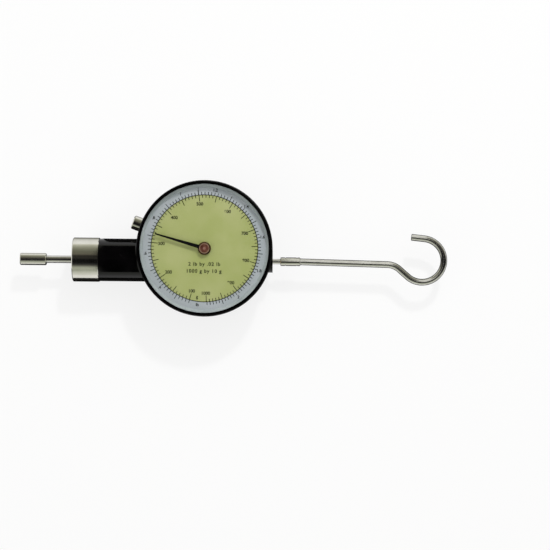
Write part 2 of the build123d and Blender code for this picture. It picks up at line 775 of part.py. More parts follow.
def make_button_bracket():
    foot_bottom = base_plate_top - rod_height
    upright_height = bracket_top - foot_bottom
    upright = Pos((bracket_inner + bracket_outer) / 2, 0, (foot_bottom + bracket_top) / 2)
    bracket = upright * Box(bracket_thickness, bracket_width, upright_height)
    foot = Pos(bracket_outer + bracket_foot_length / 2, 0, foot_bottom + bracket_thickness / 2)
    bracket += foot * Box(bracket_foot_length, bracket_width, bracket_thickness)
    hole = button_stem_diameter / 2 + running_gap
    bracket -= along_x(hole, bracket_inner - through, bracket_outer + through)
    bracket = radial(bracket)
    for place in bracket_screw_places():
        bracket -= screw_hole(place, base_plate_top - through, base_plate_top + 2 * bracket_thickness,
                              rack_screw_diameter)
    return bracket


def make_bracket_screws():
    seat = base_plate_top + bracket_thickness
    bite = bracket_thickness + base_plate_thickness - slip_gap
    return [slotted_screw(place, seat, bite, diameter=rack_screw_diameter,
                          head_diameter=rack_screw_head_diameter, head_height=rack_screw_head_height)
            for place in bracket_screw_places()]


def make_button_spring():
    length = flange_inner - bracket_outer - 2 * spring_end_gap
    spring = coil_spring(button_spring_diameter, button_wire_diameter, length, button_spring_turns)
    return radial(Pos(bracket_outer + spring_end_gap, 0, 0) * spring)


def pawl_arm_end():
    """Where the pawl arm's round end is centred, so that its tooth just clears the wheel."""
    return polar(pawl_tip_radius + pawl_tooth_length + lever_arm_width / 2, pawl_angle)


def make_pawl_lever():
    """A flat lever: one arm ends in the pawl, the other in an upright tab behind the button's stem."""
    tail = polar(tab_outer - lever_tab_thickness / 2, button_angle)
    arm_end = pawl_arm_end()
    outline = flat_bar(lever_pivot, arm_end, lever_arm_width)
    outline += flat_bar(lever_pivot, tail, lever_tail_width)
    outline += Pos(*lever_pivot) * Circle(lever_eye_diameter / 2)
    half = pawl_tooth_width / 2
    inward = math.hypot(*arm_end) - pawl_tip_radius
    tooth = closed_outline([(0, -half), (0, half), (-inward, 0)])
    outline += Pos(*arm_end) * Rot(0, 0, pawl_angle) * tooth
    lever = Pos(0, 0, lever_bottom) * extrude(outline, lever_thickness)
    tab_bottom, tab_top = lever_bottom - rod_height, lever_tab_above
    tab = Pos(tab_outer - lever_tab_thickness / 2, 0, (tab_bottom + tab_top) / 2)
    lever += radial(tab * Box(lever_tab_thickness, lever_tab_width, tab_top - tab_bottom))
    hole = lever_post_diameter / 2 + running_gap
    return lever - post(hole, lever_bottom - through, lever_top + through, lever_pivot)


def make_lever_post():
    """The lever's pivot, riveted into the base plate."""
    clip_top = lever_top + lever_end_play + lever_clip_thickness
    pivot = post(lever_post_diameter / 2, ledge_top, clip_top + lever_post_proud, lever_pivot)
    shoulder_top = lever_bottom - lever_end_play
    return pivot + post(lever_shoulder_diameter / 2, base_plate_top, shoulder_top, lever_pivot)


def make_lever_clip():
    bottom = lever_top + lever_end_play
    inner = lever_post_diameter / 2 + press_gap
    return tube(lever_clip_diameter / 2, inner, bottom, bottom + lever_clip_thickness, lever_pivot)


def leaf_ends():
    """The leaf spring's free end, beside the lever's arm, and its held end, inside its post."""
    arm_end = pawl_arm_end()
    run_x, run_y = arm_end[0] - lever_pivot[0], arm_end[1] - lever_pivot[1]
    length = math.hypot(run_x, run_y)
    run_x, run_y = run_x / length, run_y / length
    side = lever_arm_width / 2 + leaf_thickness / 2 + running_gap
    touch = (lever_pivot[0] + leaf_touch * run_x - side * run_y,
             lever_pivot[1] + leaf_touch * run_y + side * run_x)
    return touch, leaf_post


def make_pawl_spring():
    """A leaf spring that presses the pawl's arm towards the ratchet wheel."""
    touch, held = leaf_ends()
    return Pos(0, 0, lever_bottom) * extrude(flat_bar(touch, held, leaf_thickness), lever_thickness)


def make_leaf_post():
    """The slotted post that holds the leaf spring."""
    touch, held = leaf_ends()
    top = lever_top + leaf_post_proud
    body = post(leaf_post_diameter / 2, base_plate_top, top, leaf_post)
    body += post(leaf_post_diameter / 4, ledge_top, base_plate_top, leaf_post)
    slot = flat_bar(touch, held, leaf_thickness + 2 * press_gap)
    return body - Pos(0, 0, lever_bottom - press_gap) * extrude(slot, top)


# ---- Assembly: node name and the function that makes it ----
nodes = {
    "case_body": make_case_body,
    "back_cover": make_back_cover,
    "cover_screws": make_cover_screws,
    "bezel_ring": make_bezel_ring,
    "crystal": make_crystal,
    "spacer_ring": make_spacer_ring,
    "dial_plate": make_dial_plate,
    "dial_pin": dial_pin_shape,
    "base_plate": make_base_plate,
    "base_plate_screws": make_base_plate_screws,
    "front_plate": make_front_plate,
    "plate_pillars": make_plate_pillars,
    "pillar_screws": make_pillar_screws,
    "arbor_bushings": make_arbor_bushings,
    "arbor": make_arbor,
    "pinion": make_pinion,
    "hold_wheel": make_hold_wheel,
    "pointer_boss": make_pointer_boss,
    "pointer": make_pointer,
    "pointer_cap": make_pointer_cap,
    "plunger_rod": make_plunger_rod,
    "plunger_tip": make_plunger_tip,
    "spring_collar": make_spring_collar,
    "collar_pin": collar_pin_shape,
    "rack_plate": make_rack_plate,
    "rack_screws": make_rack_screws,
    "guide_pin": guide_pin_shape,
    "rear_stem": make_rear_stem,
    "hook_coupling": make_hook_coupling,
    "hook": make_hook,
    "neck_cap": make_neck_cap,
    "front_bushing": make_front_bushing,
    "rear_bushing": make_rear_bushing,
    "seat_washer": make_seat_washer,
    "main_spring": make_main_spring,
    "reset_button": make_reset_button,
    "button_bracket": make_button_bracket,
    "bracket_screws": make_bracket_screws,
    "button_spring": make_button_spring,
    "pawl_lever": make_pawl_lever,
    "lever_post": make_lever_post,
    "lever_clip": make_lever_clip,
    "pawl_spring": make_pawl_spring,
    "leaf_post": make_leaf_post,
}

for name, make in nodes.items():
    shape = make()
    if isinstance(shape, list):
        shape = Compound(children=shape)
    export_step(shape, f"parts/{name}.step")
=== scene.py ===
import json
import math

import bmesh
import bpy
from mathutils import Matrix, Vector


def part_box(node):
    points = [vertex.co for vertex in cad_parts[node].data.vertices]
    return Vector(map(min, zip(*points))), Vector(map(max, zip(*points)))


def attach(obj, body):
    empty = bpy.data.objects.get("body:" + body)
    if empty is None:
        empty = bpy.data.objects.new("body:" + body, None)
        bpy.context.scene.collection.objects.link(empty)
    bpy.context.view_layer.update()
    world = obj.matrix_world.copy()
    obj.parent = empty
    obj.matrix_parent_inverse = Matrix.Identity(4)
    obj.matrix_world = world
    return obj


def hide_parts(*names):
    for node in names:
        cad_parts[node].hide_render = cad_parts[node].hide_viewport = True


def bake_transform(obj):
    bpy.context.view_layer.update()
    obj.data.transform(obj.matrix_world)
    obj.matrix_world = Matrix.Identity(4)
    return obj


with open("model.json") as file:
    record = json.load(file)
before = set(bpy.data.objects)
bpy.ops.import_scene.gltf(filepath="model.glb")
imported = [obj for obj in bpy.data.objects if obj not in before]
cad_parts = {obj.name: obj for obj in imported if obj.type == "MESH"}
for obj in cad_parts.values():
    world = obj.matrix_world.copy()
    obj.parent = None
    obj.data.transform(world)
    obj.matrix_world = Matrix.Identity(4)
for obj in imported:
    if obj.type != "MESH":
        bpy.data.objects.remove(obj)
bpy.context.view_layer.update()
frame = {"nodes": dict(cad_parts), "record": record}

# Looks of the push and pull force gauge. Metres, in the CAD model's frame: the gauge lies on its back,
# +Z points out of the dial, +X runs along the rod towards the hook and +Y is up on the dial.

MM = 0.001
scene = bpy.context.scene

# ---- Places, from the frame ----
DIAL_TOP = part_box("dial_plate")[1].z
TIP_LOW, TIP_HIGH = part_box("plunger_tip")
ROD_Y, ROD_Z = (TIP_LOW.y + TIP_HIGH.y) / 2, (TIP_LOW.z + TIP_HIGH.z) / 2
CAP_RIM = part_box("pointer_cap")[1].x - 0.3 * MM      # where the painted highlight on the pointer cap's rim is palest
CAP_RIM_BLUR = 0.25 * MM
BUTTON_ANGLE = 160.3               # the button's axis, degrees from +X

# ---- Dial print. Angles on the dial are in degrees clockwise from straight down ----
INK_THICKNESS = 0.03 * MM
INK_SUNK = 0.01 * MM               # how far the print's underside lies in the dial plate
TICK_WIDTH = 0.3 * MM
CIRCLE_RADIUS = 22.8 * MM          # the black circle between the dial's two zones
CIRCLE_WIDTH = 0.34 * MM
CIRCLE_PARTS = 180
ZONE_BLUR = 0.03 * MM              # half the width over which one zone's colour turns into the other's

SCALE_START = 15.7                 # the first gram line's angle
SCALE_RATE = 0.4064                # degrees for a gram there
SCALE_SLOWING = 2.97e-5            # degrees lost with the grams squared, as the lines draw together

GRAM_FIRST, GRAM_LAST, GRAM_STEP = 100, 1000, 10
GRAM_LONG_STEP, GRAM_LABEL_STEP = 50, 100
GRAM_SHORT, GRAM_LONG = 1.2 * MM, 2.7 * MM
GRAM_LABEL_REACH = 19.95 * MM      # the gram numbers' outer edges
GRAM_UNIT = (21.3 * MM, 8.0)       # radius and angle of the unit's letter
LABEL_SIZE = 1.95 * MM
MIDDLE_GRAMS = 500
MIDDLE_LINE = (20.3 * MM, 26.2 * MM)      # the long thin line across both scales

GRAMS_PER_POUND = 453.59
POUND_STEPS_PER_POUND = 50
POUND_LONG_STEPS = 5
POUND_SHORT, POUND_LONG = 1.35 * MM, 2.2 * MM
POUND_LABEL_FIRST, POUND_LABEL_LAST, POUND_LABEL_STEP = 4, 20, 2      # tenths of a pound
POUND_LABEL_RADIUS = 25.3 * MM
POUND_UNIT = (24.2 * MM, 6.6)
POUND_LABEL_SIZE = 1.75 * MM

NOTE_LINES = (("2 lb by .02 lb", -6.9 * MM), ("1000 g by 10 g", -9.9 * MM))      # text and its middle's Y
NOTE_SIZE = 2.1 * MM
NOTE_SPACING = 1.2                 # letter spacing, in units of the font's own
LETTER_WEIGHT = 0.055 * MM         # added to each side of the font's strokes

# ---- Camera ----
CAMERA_PLACE = (30.2 * MM, -11.04 * MM, 825.6 * MM)
CAMERA_TURN = 0.6                  # degrees about its line of sight
SENSOR_WIDTH = 36.0
LENS = 123.63

# ---- Light ----
AMBIENT = 0.6                      # the world's even light
FLOOR_SIZE = 3.0                   # from the middle to each side
FLOOR_DROP = 0.3 * MM              # below the gauge's back face
FLOOR_TONE = (0.86, 0.86, 0.85, 1)
WHITE_SHARE = 0.8                  # how far the floor is lifted to plain white where it is seen
LAMPS = (                          # name, place, size and power
    ("key_lamp", (0.28, 0.6, 0.92), 0.6, 1.9),
    ("spot_lamp", (0.28, 0.8, 0.86), 0.09, 6.1),
    ("fill_lamp", (-0.8, -0.5, 0.7), 0.8, 1.6),
)

# What metal and glass mirror in place of the world's even light: a strip studio along X, as degrees from
# overhead towards +Y and the colour there. It is pale at both horizons and dark overhead.
STUDIO_STRIP = (
    (-90, (0.85, 0.86, 0.82)), (-76, (0.7, 0.71, 0.65)), (-68, (0.6, 0.62, 0.55)),
    (-60, (0.43, 0.45, 0.38)), (-44, (0.45, 0.47, 0.39)), (-38, (0.3, 0.31, 0.26)),
    (-30, (0.08, 0.08, 0.07)), (-23, (0.025, 0.025, 0.025)), (-14, (0.004, 0.004, 0.004)),
    (0, (0.004, 0.004, 0.004)), (8, (0.03, 0.028, 0.024)), (20, (0.03, 0.028, 0.024)),
    (28, (0.14, 0.13, 0.1)), (42, (0.16, 0.16, 0.12)), (53, (0.22, 0.22, 0.17)),
    (66, (0.34, 0.34, 0.27)), (79, (0.52, 0.52, 0.44)), (90, (0.88, 0.87, 0.8)),
)

# Cards that only metal and glass mirror, in millimetres, with each card's level. The dark ones draw the
# edges of bright pieces and blacken the neck, and the pale ones light the wire's upper side. The two
# that stand beside the neck lean to -X as they rise, along the camera's mirrored lines of sight.
FLOOR_CARDS = (                    # name, two opposite XY corners, level
    ("dark_card_neck", (-120, -52), (-16, -4), 0.02),
    ("dark_card_case", (-45, -4), (-28, 46), 0.02),
    ("dark_card_hook", (32, -60), (150, 50), 0.12),
)
RAISED_CARDS = (
    ("dark_card_low_side", ((-49.3, -65, 38), (-31, -65, 38), (-54.5, -65, 400), (-79.5, -65, 400)), 0.004),
    ("dark_card_high_side", ((-48.8, 55, 25), (-31, 55, 25), (-54.5, 55, 400), (-79.5, 55, 400)), 0.004),
    ("pale_card", ((36, 150, 45), (140, 150, 45), (140, 150, 420), (36, 150, 420)), 0.8),
    ("pale_card_top", ((36, 150, 420), (140, 150, 420), (140, 25, 420), (36, 25, 420)), 0.8),
)
CARD_BLUE = 0.95                   # the blue share of a card's level

# ---- Finish ----
LATHE_SCALE = 9000                 # noise scales are in cycles for a metre
MARK_HEIGHT = 0.02 * MM            # bump heights
PEEL_HEIGHT = 0.012 * MM
GRAIN_HEIGHT = 0.01 * MM
EDGE_SHADE_TINT = (0.1, 0.1, 0.09, 1)    # painted shade: a dark edge tint, so bare metal mirrors less where it turns away and bright pieces get dark outlines
MIX_FIRST, MIX_SECOND, MIX_RESULT = 6, 7, 2      # a Mix node's sockets for colours


# ---- Shader helpers ----
class Look:
    """A material with a Principled shader, and short calls for the nodes that the materials share."""

    def __init__(self, name, roughness, metallic=0.0, **constants):
        self.material = bpy.data.materials.new(name)
        self.material.use_nodes = True
        tree = self.material.node_tree
        self.nodes, self.links = tree.nodes, tree.links
        self.shader = self.nodes["Principled BSDF"]
        self.shader.inputs["Roughness"].default_value = roughness
        self.shader.inputs["Metallic"].default_value = metallic
        for socket, value in constants.items():
            self.shader.inputs[socket.replace("_", " ")].default_value = value
        self.place = self.add("ShaderNodeTexCoord").outputs["Object"]

    def add(self, kind, inputs=(), **settings):
        node = self.nodes.new(kind)
        for key, value in settings.items():
            setattr(node, key, value)
        for socket, value in dict(inputs).items():
            if isinstance(value, bpy.types.NodeSocket):
                self.links.new(value, node.inputs[socket])
            else:
                node.inputs[socket].default_value = value
        return node

    def maths(self, operation, *values):
        return self.add("ShaderNodeMath", dict(enumerate(values)), operation=operation).outputs[0]

    def turned(self, degrees):
        """The place, turned about Z."""
        inputs = {"Vector": self.place, "Rotation": (0, 0, math.radians(degrees))}
        return self.add("ShaderNodeMapping", inputs).outputs[0]

    def stretched(self, scale, turn=0.0):
        """The place, turned about Z in degrees and scaled along each axis."""
        return self.add("ShaderNodeMapping", {"Vector": self.turned(turn), "Scale": scale}).outputs[0]

    def turning(self, centre=(0, 0), turn=0.0, upright=False):
        """(along the axis, distance from it) as a vector, so that noise on it makes lathe marks."""
        parts = self.add("ShaderNodeSeparateXYZ", {"Vector": self.turned(turn)}).outputs
        along, side, rise = (parts[2], parts[0], parts[1]) if upright else parts
        side = self.maths("SUBTRACT", side, centre[0])
        rise = self.maths("SUBTRACT", rise, centre[1])
        squares = self.maths("ADD", self.maths("MULTIPLY", side, side), self.maths("MULTIPLY", rise, rise))
        return self.add("ShaderNodeCombineXYZ", {"X": along, "Y": self.maths("SQRT", squares)}).outputs[0]

    def from_axis(self, turning):
        """The distance from the axis alone."""
        return self.add("ShaderNodeSeparateXYZ", {"Vector": turning}).outputs[1]

    def noise(self, scale, vector=None, detail=4.0, roughness=0.55):
        inputs = {"Vector": vector or self.place, "Scale": scale, "Detail": detail, "Roughness": roughness}
        return self.add("ShaderNodeTexNoise", inputs).outputs["Fac"]

    def lathe_lines(self, turning):
        fine = self.add("ShaderNodeVectorMath", {0: turning, 1: (LATHE_SCALE,) * 3}, operation="MULTIPLY")
        return self.noise(1.0, fine.outputs[0], detail=3.0)

    def spread(self, value, between, onto=(0.0, 1.0)):
        """Carries a value from one range onto another, and holds it at the ends."""
        inputs = {"Value": value, "From Min": between[0], "From Max": between[1],
                  "To Min": onto[0], "To Max": onto[1]}
        return self.add("ShaderNodeMapRange", inputs).outputs["Result"]

    def blend(self, factor, first, second):
        node = self.add("ShaderNodeMix", {"Factor": factor}, data_type="RGBA")
        for socket, value in ((node.inputs[MIX_FIRST], first), (node.inputs[MIX_SECOND], second)):
            if isinstance(value, bpy.types.NodeSocket):
                self.links.new(value, socket)
            else:
                socket.default_value = (*value, 1)
        return node.outputs[MIX_RESULT]

    def colour(self, value):
        self.links.new(value, self.shader.inputs["Base Color"])

    def rough(self, value):
        self.links.new(value, self.shader.inputs["Roughness"])

    def bump(self, height, strength, distance):
        node = self.add("ShaderNodeBump", {"Height": height, "Strength": strength, "Distance": distance})
        self.links.new(node.outputs["Normal"], self.shader.inputs["Normal"])

    def surface(self, value):
        """Puts another shader in the place of the Principled one."""
        self.links.new(value, self.nodes["Material Output"].inputs["Surface"])


def srgb(red, green, blue):
    """The linear colour of an 8-bit sRGB colour."""
    def linear(value):
        value /= 255
        return value / 12.92 if value <= 0.04045 else ((value + 0.055) / 1.055) ** 2.4
    return tuple(linear(v) for v in (red, green, blue))


# ---- Materials ----
def turned_metal(name, pale, dark, roughness, marks, **axis):
    """Metal with fine lathe marks, small stains and a roughness that wanders."""
    look = Look(name, roughness, metallic=1.0, Specular_Tint=EDGE_SHADE_TINT)
    line = look.lathe_lines(look.turning(**axis))
    stain = look.noise(160.0, detail=5.0)
    speck = look.noise(2600.0, detail=2.0)
    shade = look.blend(look.spread(stain, (0.35, 0.7)), dark, pale)
    look.colour(look.blend(look.spread(line, (0.3, 0.7), (0.0, 0.35)), shade, dark))
    look.rough(look.maths("ADD", look.spread(speck, (0.3, 0.75), (roughness * 0.75, roughness * 1.3)),
                          look.spread(stain, (0.4, 0.7), (0.0, 0.04))))
    look.bump(line, marks, MARK_HEIGHT)
    return look.material


def drawn_metal(name, pale, dark, roughness, marks, stretch=(300, 5000, 5000), turn=0.0):
    """Metal with long fine draw or brush lines along one direction."""
    look = Look(name, roughness, metallic=1.0, Specular_Tint=EDGE_SHADE_TINT)
    line = look.noise(1.0, look.stretched(stretch, turn))
    stain = look.noise(220.0, detail=5.0)
    shade = look.blend(look.spread(stain, (0.35, 0.68)), dark, pale)
    look.colour(look.blend(look.spread(line, (0.35, 0.7), (0.0, 0.4)), shade, dark))
    look.rough(look.spread(line, (0.3, 0.7), (roughness * 0.8, roughness * 1.35)))
    look.bump(line, marks, MARK_HEIGHT)
    return look.material


def black_lacquer():
    """Gloss black enamel: slight orange peel, hairline scratches and a little dust."""
    look = Look("black_lacquer", 0.12, Specular_IOR_Level=0.3)
    peel = look.noise(950.0, detail=2.0)
    cloud = look.noise(140.0, detail=5.0)
    hair = look.noise(1.0, look.stretched((240, 5200, 2500), 33.0), detail=3.0)
    dust = look.noise(7000.0, detail=1.0)
    mark = look.maths("MULTIPLY", look.spread(hair, (0.66, 0.74)), look.spread(cloud, (0.5, 0.65)))
    tone = look.blend(look.spread(cloud, (0.35, 0.7)), srgb(2, 2, 2), srgb(6, 5, 6))
    tone = look.blend(look.spread(dust, (0.72, 0.8), (0.0, 0.25)), tone, srgb(70, 68, 66))
    look.colour(look.blend(look.maths("MULTIPLY", mark, 0.35), tone, srgb(58, 57, 58)))
    look.rough(look.maths("ADD", look.spread(cloud, (0.35, 0.7), (0.06, 0.13)),
                          look.maths("MULTIPLY", mark, 0.2)))
    look.bump(look.maths("ADD", peel, look.maths("MULTIPLY", mark, -0.6)), 0.12, PEEL_HEIGHT)
    return look.material


def dial_enamel():
    """Two printed zones: green inside the black circle and blue-grey outside it."""
    look = Look("dial_enamel", 0.5, Specular_IOR_Level=0.35)
    zone = look.spread(look.from_axis(look.turning(upright=True)),
                       (CIRCLE_RADIUS - ZONE_BLUR, CIRCLE_RADIUS + ZONE_BLUR))
    cloud = look.noise(70.0, detail=5.0)
    grain = look.noise(3800.0, detail=2.0)
    green = look.blend(look.spread(cloud, (0.35, 0.68)), srgb(160, 168, 100), srgb(173, 178, 118))
    grey = look.blend(look.spread(cloud, (0.35, 0.68)), srgb(163, 171, 175), srgb(176, 182, 186))
    both = look.blend(zone, green, grey)
    look.colour(look.blend(look.spread(grain, (0.35, 0.75), (0.0, 0.14)), both, srgb(120, 124, 96)))
    look.rough(look.spread(grain, (0.3, 0.7), (0.42, 0.58)))
    look.bump(grain, 0.15, GRAIN_HEIGHT)
    return look.material


def painted(name, pale, dark, roughness, grain_scale, grain_strength, **constants):
    """A plain paint with a fine grain, cloudy shade and small worn spots."""
    look = Look(name, roughness, **constants)
    cloud = look.noise(180.0, detail=5.0)
    grain = look.noise(grain_scale, detail=3.0)
    spots = look.maths("ADD", cloud, look.maths("MULTIPLY", grain, 0.5))
    look.colour(look.blend(look.spread(spots, (0.5, 1.0)), dark, pale))
    look.rough(look.spread(grain, (0.3, 0.7), (roughness * 0.85, roughness * 1.2)))
    look.bump(grain, grain_strength, GRAIN_HEIGHT)
    return look.material


def copper_cap():
    """Copper coloured lacquer on the pointer's cap: lathe marks, stains and a painted highlight that makes
    its rim pale.
    """
    look = Look("copper_cap", 0.35, metallic=1.0, Specular_Tint=EDGE_SHADE_TINT)
    turning = look.turning(upright=True)
    line = look.lathe_lines(turning)
    stain = look.noise(900.0, detail=5.0)
    shade = look.blend(look.spread(stain, (0.35, 0.7)), srgb(150, 88, 72), srgb(206, 142, 122))
    # painted highlight: the cap's colour is lightened towards its rim
    rim = look.spread(look.from_axis(turning), (CAP_RIM - CAP_RIM_BLUR, CAP_RIM), (0.0, 0.85))
    shade = look.blend(rim, shade, srgb(240, 200, 172))
    look.colour(look.blend(look.spread(line, (0.3, 0.7), (0.0, 0.35)), shade, srgb(140, 84, 66)))
    look.rough(look.spread(stain, (0.35, 0.7), (0.28, 0.42)))
    look.bump(line, 0.5, MARK_HEIGHT)
    return look.material


def clear_crystal():
    """Thin clear glass: it lets the dial's light through and keeps the studio's reflection."""
    look = Look("clear_crystal", 0.03, IOR=1.49, Alpha=0.09, Transmission_Weight=1.0)
    smear = look.noise(90.0, detail=6.0)
    hair = look.noise(1.0, look.stretched((400, 9000, 400), 58.0), detail=2.0)
    look.colour(look.blend(look.spread(smear, (0.4, 0.7)), (0.95, 0.97, 0.97), (0.9, 0.93, 0.94)))
    look.rough(look.maths("ADD", look.spread(smear, (0.45, 0.75), (0.02, 0.07)),
                          look.spread(hair, (0.7, 0.78), (0.0, 0.12))))
    return look.material


ROD_LINE = {"centre": (ROD_Y, ROD_Z)}
BUTTON_LINE = {"centre": (0, ROD_Z), "turn": -BUTTON_ANGLE}
DIAL_LINE = {"upright": True}
NICKEL = (0.78, 0.77, 0.71), (0.69, 0.68, 0.61)      # pale and dark, as below
STEEL = (0.72, 0.71, 0.68), (0.58, 0.57, 0.54)
BRIGHT_WIRE = (0.84, 0.83, 0.79), (0.68, 0.67, 0.63)
SCREW_STEEL = (0.58, 0.58, 0.57), (0.4, 0.4, 0.4)
SPRING_STEEL = (0.4, 0.4, 0.41), (0.24, 0.24, 0.25)
BRASS = (0.76, 0.58, 0.27), (0.60, 0.43, 0.17)
DARK_BRASS = (0.70, 0.50, 0.22), (0.52, 0.35, 0.14)
BRONZE = srgb(240, 190, 170), srgb(212, 156, 134)
DULL = {"Specular_IOR_Level": 0.2}

LOOKS = {
    "black_lacquer": black_lacquer(),
    "nickel_plate": turned_metal("nickel_plate", *NICKEL, 0.08, 0.15, **ROD_LINE),
    "nickel_button": turned_metal("nickel_button", *NICKEL, 0.11, 0.18, **BUTTON_LINE),
    "nickel_tip": turned_metal("nickel_tip", *NICKEL, 0.2, 0.2, **ROD_LINE),
    "polished_steel": drawn_metal("polished_steel", *STEEL, 0.18, 0.12),
    "wire_steel": drawn_metal("wire_steel", *BRIGHT_WIRE, 0.16, 0.2, (500, 4500, 4500)),
    "screw_steel": drawn_metal("screw_steel", *SCREW_STEEL, 0.3, 0.2, (2500, 2500, 2500)),
    "spring_steel": drawn_metal("spring_steel", *SPRING_STEEL, 0.26, 0.15, (1500, 1500, 1500)),
    "brass_plate": drawn_metal("brass_plate", *BRASS, 0.27, 0.25, (260, 5200, 2500), 12.0),
    "bushing_brass": turned_metal("bushing_brass", *DARK_BRASS, 0.24, 0.2, **ROD_LINE),
    "wheel_brass": turned_metal("wheel_brass", *BRASS, 0.22, 0.2, **DIAL_LINE),
    "pale_grey_ring": painted("pale_grey_ring", srgb(174, 182, 182), srgb(152, 161, 162), 0.42, 2400.0, 0.2),
    "dial_enamel": dial_enamel(),
    "dial_ink": painted("dial_ink", srgb(30, 32, 20), srgb(14, 16, 10), 0.6, 5000.0, 0.1, **DULL),
    "clear_crystal": clear_crystal(),
    "pointer_black": painted("pointer_black", srgb(9, 8, 8), srgb(3, 3, 3), 0.4, 3000.0, 0.2, **DULL),
    "boss_brown": painted("boss_brown", srgb(92, 62, 24), srgb(66, 42, 15), 0.4, 3000.0, 0.2, **DULL),
    "copper_cap": copper_cap(),
    "arbor_bronze": turned_metal("arbor_bronze", *BRONZE, 0.45, 0.4, **DIAL_LINE),
}
# Nodes whose marks follow another axis, or whose metal differs from the rest of their record slot.
NODE_LOOKS = {
    "reset_button": "nickel_button", "plunger_tip": "nickel_tip", "hook": "wire_steel",
    "rear_stem": "wire_steel", "arbor": "arbor_bronze", "pointer_boss": "boss_brown",
    "hold_wheel": "wheel_brass", "pinion": "wheel_brass", "arbor_bushings": "wheel_brass",
}

for subpart in frame["record"]["subparts"]:
    node = subpart["node"]
    look = LOOKS[NODE_LOOKS.get(node, subpart["material_slot"])]
    for material_slot in frame["nodes"][node].material_slots:
        material_slot.material = look


# ---- Pieces made here ----
def add_piece(name, mesh, look, body=None):
    piece = bpy.data.objects.new(name, mesh)
    scene.collection.objects.link(piece)
    mesh.materials.clear()
    mesh.materials.append(LOOKS[look])
    if body:
        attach(piece, body)
    return piece


def add_print(name, mesh):
    add_piece(name, mesh, "dial_ink", "case")


def mesh_of(name, shape):
    """Ends a bmesh and gives it as a mesh."""
    mesh = bpy.data.meshes.new(name)
    shape.to_mesh(mesh)
    shape.free()
    return mesh


def scale_angle(grams):
    """Where a force lies on the dial."""
    beyond = grams - GRAM_FIRST
    return SCALE_START + SCALE_RATE * beyond - SCALE_SLOWING * beyond ** 2


def dial_point(radius, angle):
    """The XY point at a radius and an angle on the dial."""
    turn = math.radians(-90 - angle)
    return Vector((radius * math.cos(turn), radius * math.sin(turn)))


def add_raised_print(name, outlines):
    """Thin raised print: each outline is a list of XY points, made into a closed flat piece."""
    shape = bmesh.new()
    low, high = DIAL_TOP - INK_SUNK, DIAL_TOP + INK_THICKNESS
    for outline in outlines:
        lower = [shape.verts.new((p[0], p[1], low)) for p in outline]
        upper = [shape.verts.new((p[0], p[1], high)) for p in outline]
        shape.faces.new(lower[::-1])
        shape.faces.new(upper)
        for i in range(len(outline)):
            j = (i + 1) % len(outline)
            shape.faces.new((lower[i], lower[j], upper[j], upper[i]))
    bmesh.ops.recalc_face_normals(shape, faces=shape.faces)
    add_print(name, mesh_of(name, shape))


def tick(angle, start, end, width=TICK_WIDTH):
    """The outline of one radial line."""
    inner, outer = dial_point(start, angle), dial_point(end, angle)
    side = (outer - inner).normalized().orthogonal() * width / 2
    return [inner - side, outer - side, outer + side, inner + side]


def add_gram_lines():
    lines = []
    for grams in range(GRAM_FIRST, GRAM_LAST + 1, GRAM_STEP):
        length = GRAM_LONG if grams % GRAM_LONG_STEP == 0 else GRAM_SHORT
        lines.append(tick(scale_angle(grams), CIRCLE_RADIUS - length, CIRCLE_RADIUS))
    add_raised_print("gram_lines", lines)


def add_pound_lines():
    """The fifth lines are long, apart from those that have a number, and one runs across both scales."""
    lines = []
    first = round(GRAM_FIRST / GRAMS_PER_POUND * POUND_STEPS_PER_POUND)
    last = int(GRAM_LAST / GRAMS_PER_POUND * POUND_STEPS_PER_POUND)
    numbered_steps = POUND_STEPS_PER_POUND * POUND_LABEL_STEP // 10
    for step in range(first, last + 1):
        is_long = step % POUND_LONG_STEPS == 0 and step % numbered_steps != 0
        length = POUND_LONG if is_long else POUND_SHORT
        grams = step / POUND_STEPS_PER_POUND * GRAMS_PER_POUND
        lines.append(tick(scale_angle(grams), CIRCLE_RADIUS, CIRCLE_RADIUS + length))
    lines.append(tick(scale_angle(MIDDLE_GRAMS), *MIDDLE_LINE, TICK_WIDTH / 2))
    add_raised_print("pound_lines", lines)


def add_zone_circle():
    inner, outer = CIRCLE_RADIUS - CIRCLE_WIDTH / 2, CIRCLE_RADIUS + CIRCLE_WIDTH / 2
    ring = []
    for i in range(CIRCLE_PARTS):
        a, b = 360 * i / CIRCLE_PARTS, 360 * (i + 1) / CIRCLE_PARTS
        ring.append([dial_point(inner, a), dial_point(outer, a), dial_point(outer, b), dial_point(inner, b)])
    add_raised_print("zone_circle", ring)


def add_words(name, words, spacing=1.0):
    """Upright lettering. Each entry is (text, size, place), where place gives the middle of the text from
    half its width and half its height."""
    shape = bmesh.new()
    for text, size, place in words:
        curve = bpy.data.curves.new(name, "FONT")
        curve.body, curve.size, curve.offset = text, size, LETTER_WEIGHT
        curve.extrude = (INK_THICKNESS + INK_SUNK) / 2
        curve.space_character = spacing
        holder = bpy.data.objects.new(name, curve)
        mesh = bpy.data.meshes.new_from_object(holder)
        low = Vector([min(v.co[i] for v in mesh.vertices) for i in (0, 1)])
        high = Vector([max(v.co[i] for v in mesh.vertices) for i in (0, 1)])
        half = (high - low) / 2
        move = place(half) - low - half
        for vertex in mesh.vertices:
            vertex.co += Vector((move.x, move.y, DIAL_TOP + (INK_THICKNESS - INK_SUNK) / 2))
        shape.from_mesh(mesh)
        bpy.data.objects.remove(holder)
        bpy.data.curves.remove(curve)
        bpy.data.meshes.remove(mesh)
    add_print(name, mesh_of(name, shape))


def at(point):
    """A place that doesn't depend on the text's size."""
    return lambda half: Vector(point)


def inside(reach, angle):
    """A place whose text just touches a circle from the inside."""
    def place(half):
        outward = dial_point(1.0, angle)
        return outward * (reach - abs(outward.x) * half.x - abs(outward.y) * half.y)
    return place


